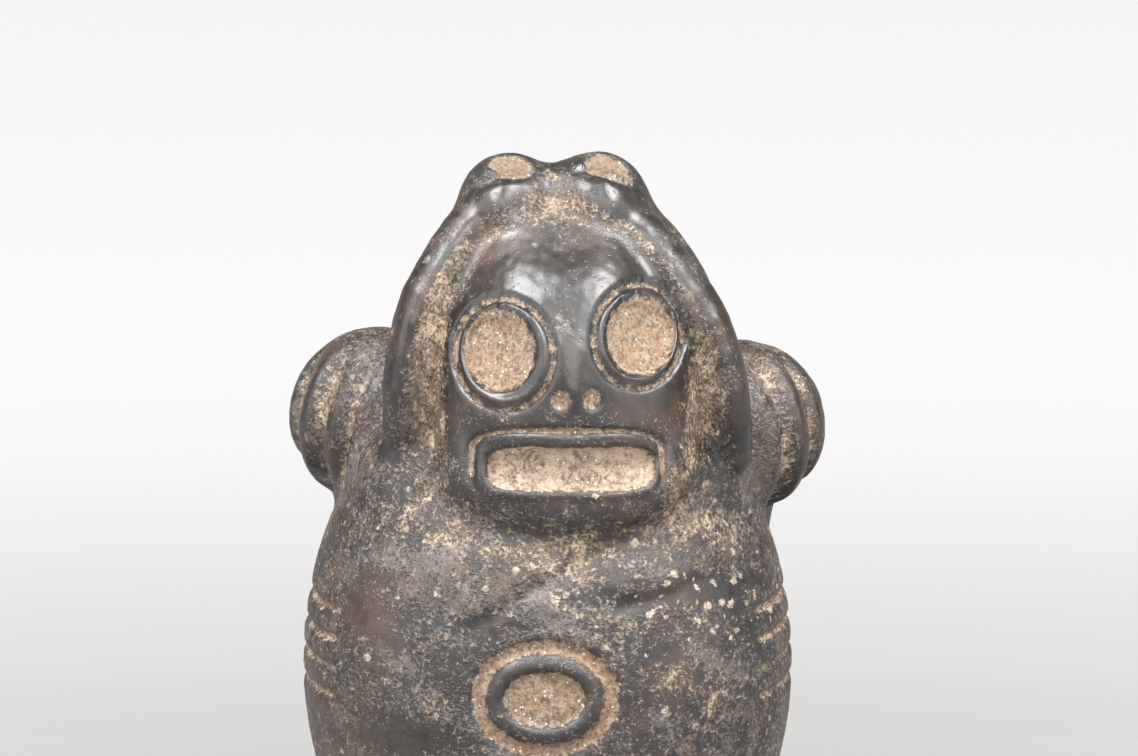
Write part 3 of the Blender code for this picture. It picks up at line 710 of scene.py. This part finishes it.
# Crust: tan, in clotted patches with broken edges and paler hearts
crust_cover = cover(mean((clotted, 0.5), (grainy, 0.3), (fine, 0.2)), kept("crust"), 0.37, 0.68, 0.09)
crust_colour = tinted((0.075, 0.048, 0.031),
                      ((0.23, 0.165, 0.105), ((clotted, 0.3), (fine, 0.7)), 0.40, 0.57, 1.0),
                      ((0.50, 0.40, 0.28), ((fine, 0.4), (clotted, 0.6)), 0.50, 0.64, 0.9))
colour = layer(colour, crust_colour, maths("MULTIPLY", crust_cover, 0.9))

# Grit: pale pecked grains in the rings and hollows, rusty in patches, with a broken edge; paler in the
# mouth's slot as painted light and darker on the crown as painted shade
grain_distance, grain_tone, grain_size = cells(0.0005, 0.0002)
grit_edge = maths("ADD", kept("grit"), maths("MULTIPLY", maths("SUBTRACT", grainy, 0.5), 2.4))
grit_cover = rise(grit_edge, -0.15, 0.3)
# Painted light: the grit in the mouth's slot is made paler.
painted_light_most = maths("MULTIPLY", kept("painted_light_shade"), 0.45)
grit_colour = tinted((0.11, 0.070, 0.042),
                     ((0.32, 0.245, 0.17), ((fine, 0.6), (grainy, 0.4)), 0.38, 0.62, 1.0),
                     ((0.25, 0.135, 0.065), ((clotted, 0.7), (fine, 0.3)), 0.48, 0.60, 0.65),
                     ((0.58, 0.48, 0.385), ((grainy, 0.5), (clotted, 0.5)), 0.42, 0.58, painted_light_most))
# Painted shade: the grit on the crown is made darker.
grit_colour = layer(grit_colour, (0.09, 0.070, 0.045), rise(kept("painted_light_shade"), 0.0, -1.0, 0.0, 0.4))
grit_colour = layer(grit_colour, (0.07, 0.045, 0.03), rise(grain_tone, 0.88, 0.92, 0.0, 0.35))
sparkle = maths("MULTIPLY", rise(grain_size, 0.92, 0.96), rise(grain_distance, 0.2, 0.45, 0.7, 0.0))
grit_colour = layer(grit_colour, (0.90, 0.86, 0.80), sparkle)
colour = layer(colour, grit_colour, grit_cover)
tree.links.new(colour, shader.inputs["Base Color"])

# Polish: glossy bare stone, satin near dust, and dull where dust, crust or grit covers it
GLOSSY, SATIN, DUSTY, CRUSTED, GRITTY = 0.30, 0.46, 0.54, 0.66, 0.85
STONE_IOR = 1.65
near_dust = rise(kept("dust"), 0.1, 0.4, GLOSSY, SATIN)
dull = maths("MAXIMUM", near_dust, rise(dust_cover, 0.0, 1.0, GLOSSY, DUSTY))
dull = maths("MAXIMUM", dull, maths("MULTIPLY", crust_cover, CRUSTED))
dull = maths("MAXIMUM", dull, maths("MULTIPLY", grit_cover, GRITTY))
tree.links.new(dull, shader.inputs["Roughness"])
shader.inputs["IOR"].default_value = STONE_IOR

# Surface grain: faint on the polish, with small pits, and coarse on crust and grit
SMOOTH_GRAIN, ROUGH_GRAIN, PIT_DEPTH = 0.10, 0.9, 0.08
GRAIN_STRENGTH, GRAIN_HEIGHT = 0.9, 0.00045
pit_distance, pit_tone, _ = cells(0.0011, 0.0004)
pits = maths("MULTIPLY", rise(pit_distance, 0.08, 0.3, 1.0, 0.0), rise(pit_tone, 0.55, 0.6))
grain = maths("ADD", maths("MULTIPLY", fine, 0.5), maths("MULTIPLY", grainy, 0.5))
rough_cover = maths("MAXIMUM", grit_cover, maths("MAXIMUM", maths("MULTIPLY", crust_cover, 0.6),
                                                 maths("MULTIPLY", dust_cover, 0.6)))
height = maths("MULTIPLY", grain, maths("ADD", SMOOTH_GRAIN, maths("MULTIPLY", rough_cover, ROUGH_GRAIN)))
height = maths("SUBTRACT", height, maths("MULTIPLY", pits, PIT_DEPTH))
bump = tree.nodes.new("ShaderNodeBump")
bump.inputs["Strength"].default_value = GRAIN_STRENGTH
bump.inputs["Distance"].default_value = GRAIN_HEIGHT
tree.links.new(height, bump.inputs["Height"])
tree.links.new(bump.outputs["Normal"], shader.inputs["Normal"])
mesh.materials.append(finish)

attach(figure, "root")
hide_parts("carved_figure")

# The floor
# A pale, plain sheet of card that curves up far away on every side, so that it has no edge in any view.
# It has a painted glow, stronger where it is far off and fullest to the camera, standing in for white studio
# paper that is lit from behind.
FLAT_RADIUS, SHEET_RADIUS, SHEET_RISE = 0.75, 3.0, 1.5
MIDDLE_RADIUS, RINGS, SPOKES = 0.001, 48, 96
PAINTED_GLOW_REACH = 3.0
PAINTED_GLOW = ((0.33, 0.0), (0.41, 0.06), (0.50, 0.18), (0.58, 0.26), (0.68, 0.36), (0.79, 0.44), (0.87, 0.48),
        (0.94, 0.54), (1.0, 0.57), (1.12, 0.61), (1.3, 0.62), (1.6, 0.63))
turns = np.linspace(0, 2 * np.pi, SPOKES, endpoint=False)
away, angle = np.meshgrid(np.linspace(0, 1, RINGS), turns, indexing="ij")
radius = MIDDLE_RADIUS + SHEET_RADIUS * away
height = SHEET_RISE * ease(radius, FLAT_RADIUS, SHEET_RADIUS * 1.35)
sheet = np.stack([radius * np.cos(angle), radius * np.sin(angle), height], axis=-1).reshape(-1, 3)
row, spoke = np.meshgrid(np.arange(RINGS - 1), np.arange(SPOKES), indexing="ij")
here, beyond = row * SPOKES, (spoke + 1) % SPOKES
tiles = np.stack([here + spoke, here + SPOKES + spoke, here + SPOKES + beyond, here + beyond], axis=-1)
floor_mesh = bpy.data.meshes.new("pale_card")
floor_mesh.from_pydata(sheet, [], tiles.reshape(-1, 4).tolist() + [list(range(SPOKES - 1, -1, -1))])
floor_mesh.shade_smooth()
floor = bpy.data.objects.new("pale_floor", floor_mesh)
bpy.context.scene.collection.objects.link(floor)
card = bpy.data.materials.new("pale_card")
card.use_nodes = True
card_shader = card.node_tree.nodes["Principled BSDF"]
card_shader.inputs["Roughness"].default_value = 0.9
card_place = card.node_tree.nodes.new("ShaderNodeTexCoord")
card_reach = card.node_tree.nodes.new("ShaderNodeVectorMath")
card_reach.operation = "LENGTH"
# Painted shade: the card's colour is darker near the middle, round the figure.
card_painted_shade = card.node_tree.nodes.new("ShaderNodeMapRange")
for name, term in {"From Min": 0.15, "From Max": 0.36, "To Min": 0.255, "To Max": 0.365}.items():
    card_painted_shade.inputs[name].default_value = term
# Painted glow: emission that grows with the distance from the middle.
card_painted_glow = card.node_tree.nodes.new("ShaderNodeFloatCurve")
for reach, glow in PAINTED_GLOW:
    card_painted_glow.mapping.curves[0].points.new(reach / PAINTED_GLOW_REACH, glow)
card_seen = card.node_tree.nodes.new("ShaderNodeLightPath")
card_nearby = card.node_tree.nodes.new("ShaderNodeMath")
card_nearby.operation = "DIVIDE"
card_nearby.inputs[1].default_value = PAINTED_GLOW_REACH
# The painted glow is full to the camera and 0.35 of that to other rays.
card_glow_camera_share = card.node_tree.nodes.new("ShaderNodeMapRange")
for name, term in {"To Min": 0.35, "To Max": 1.0}.items():
    card_glow_camera_share.inputs[name].default_value = term
card_glow_strength = card.node_tree.nodes.new("ShaderNodeMath")
card_glow_strength.operation = "MULTIPLY"
card.node_tree.links.new(card_place.outputs["Object"], card_reach.inputs[0])
card.node_tree.links.new(card_reach.outputs["Value"], card_painted_shade.inputs["Value"])
card.node_tree.links.new(card_reach.outputs["Value"], card_nearby.inputs[0])
card.node_tree.links.new(card_nearby.outputs["Value"], card_painted_glow.inputs["Value"])
card.node_tree.links.new(card_seen.outputs["Is Camera Ray"], card_glow_camera_share.inputs["Value"])
card.node_tree.links.new(card_painted_glow.outputs["Value"], card_glow_strength.inputs[0])
card.node_tree.links.new(card_glow_camera_share.outputs["Result"], card_glow_strength.inputs[1])
card.node_tree.links.new(card_painted_shade.outputs["Result"], card_shader.inputs["Base Color"])
card.node_tree.links.new(card_glow_strength.outputs["Value"], card_shader.inputs["Emission Strength"])
card_shader.inputs["Emission Color"].default_value = (1.0, 0.99, 1.0, 1.0)
floor_mesh.materials.append(card)

# Light
# Two soft boxes overhead, one in front, a dimmer panel to each side, and soft light from all round.
WORLD_LIGHT = 0.34
LIT_PLACE = Vector((0.0, 0.0, 0.11))
LAMPS = (("left_box", (-0.38, -0.30, 0.84), LIT_PLACE, 0.46, 11.5),
         ("right_box", (0.38, -0.30, 0.84), LIT_PLACE, 0.46, 11.5),
         ("front_box", (0.06, -0.95, 0.64), LIT_PLACE, 0.80, 7.5),
         ("left_panel", (-0.80, -0.50, 0.34), LIT_PLACE, 0.80, 4.0),
         ("right_panel", (0.80, -0.50, 0.34), LIT_PLACE, 0.80, 3.6))
scene = bpy.context.scene
world = bpy.data.worlds.new("white_room")
world.use_nodes = True
world.node_tree.nodes["Background"].inputs["Color"].default_value = (1.0, 0.95, 0.90, 1.0)
world.node_tree.nodes["Background"].inputs["Strength"].default_value = WORLD_LIGHT
scene.world = world
for name, stand, lit, width, power in LAMPS:
    lamp = bpy.data.lights.new(name, "AREA")
    lamp.size, lamp.energy = width, power
    lamp_object = bpy.data.objects.new(name, lamp)
    lamp_object.location = stand
    lamp_object.rotation_euler = (lit - Vector(stand)).to_track_quat("-Z", "Y").to_euler()
    lamp_object.visible_camera = False
    scene.collection.objects.link(lamp_object)

# Camera
# Close in front, a little above the head's middle and looking slightly down, so that the frame's lower
# edge crosses the body under the navel.
CAMERA_AWAY, CAMERA_DROP = 0.75, np.radians(4.0)
AIM_SIDE, AIM_UP = 3.17, 112.3
FRAME_WIDE, FRAME_SCALE = 1138, 4500
camera_data = bpy.data.cameras.new("camera")
camera_data.sensor_width = 36.0
camera_data.lens = 36.0 * FRAME_SCALE / FRAME_WIDE
camera = bpy.data.objects.new("camera", camera_data)
looked_at = Vector((AIM_SIDE * SHARE, 0.0, AIM_UP * SHARE))
behind = Vector((0.0, -np.cos(CAMERA_DROP), np.sin(CAMERA_DROP)))
camera.location = looked_at + CAMERA_AWAY * behind
camera.rotation_euler = (-behind).to_track_quat("-Z", "Y").to_euler()
scene.collection.objects.link(camera)
scene.camera = camera
scene.view_settings.view_transform = "Standard"
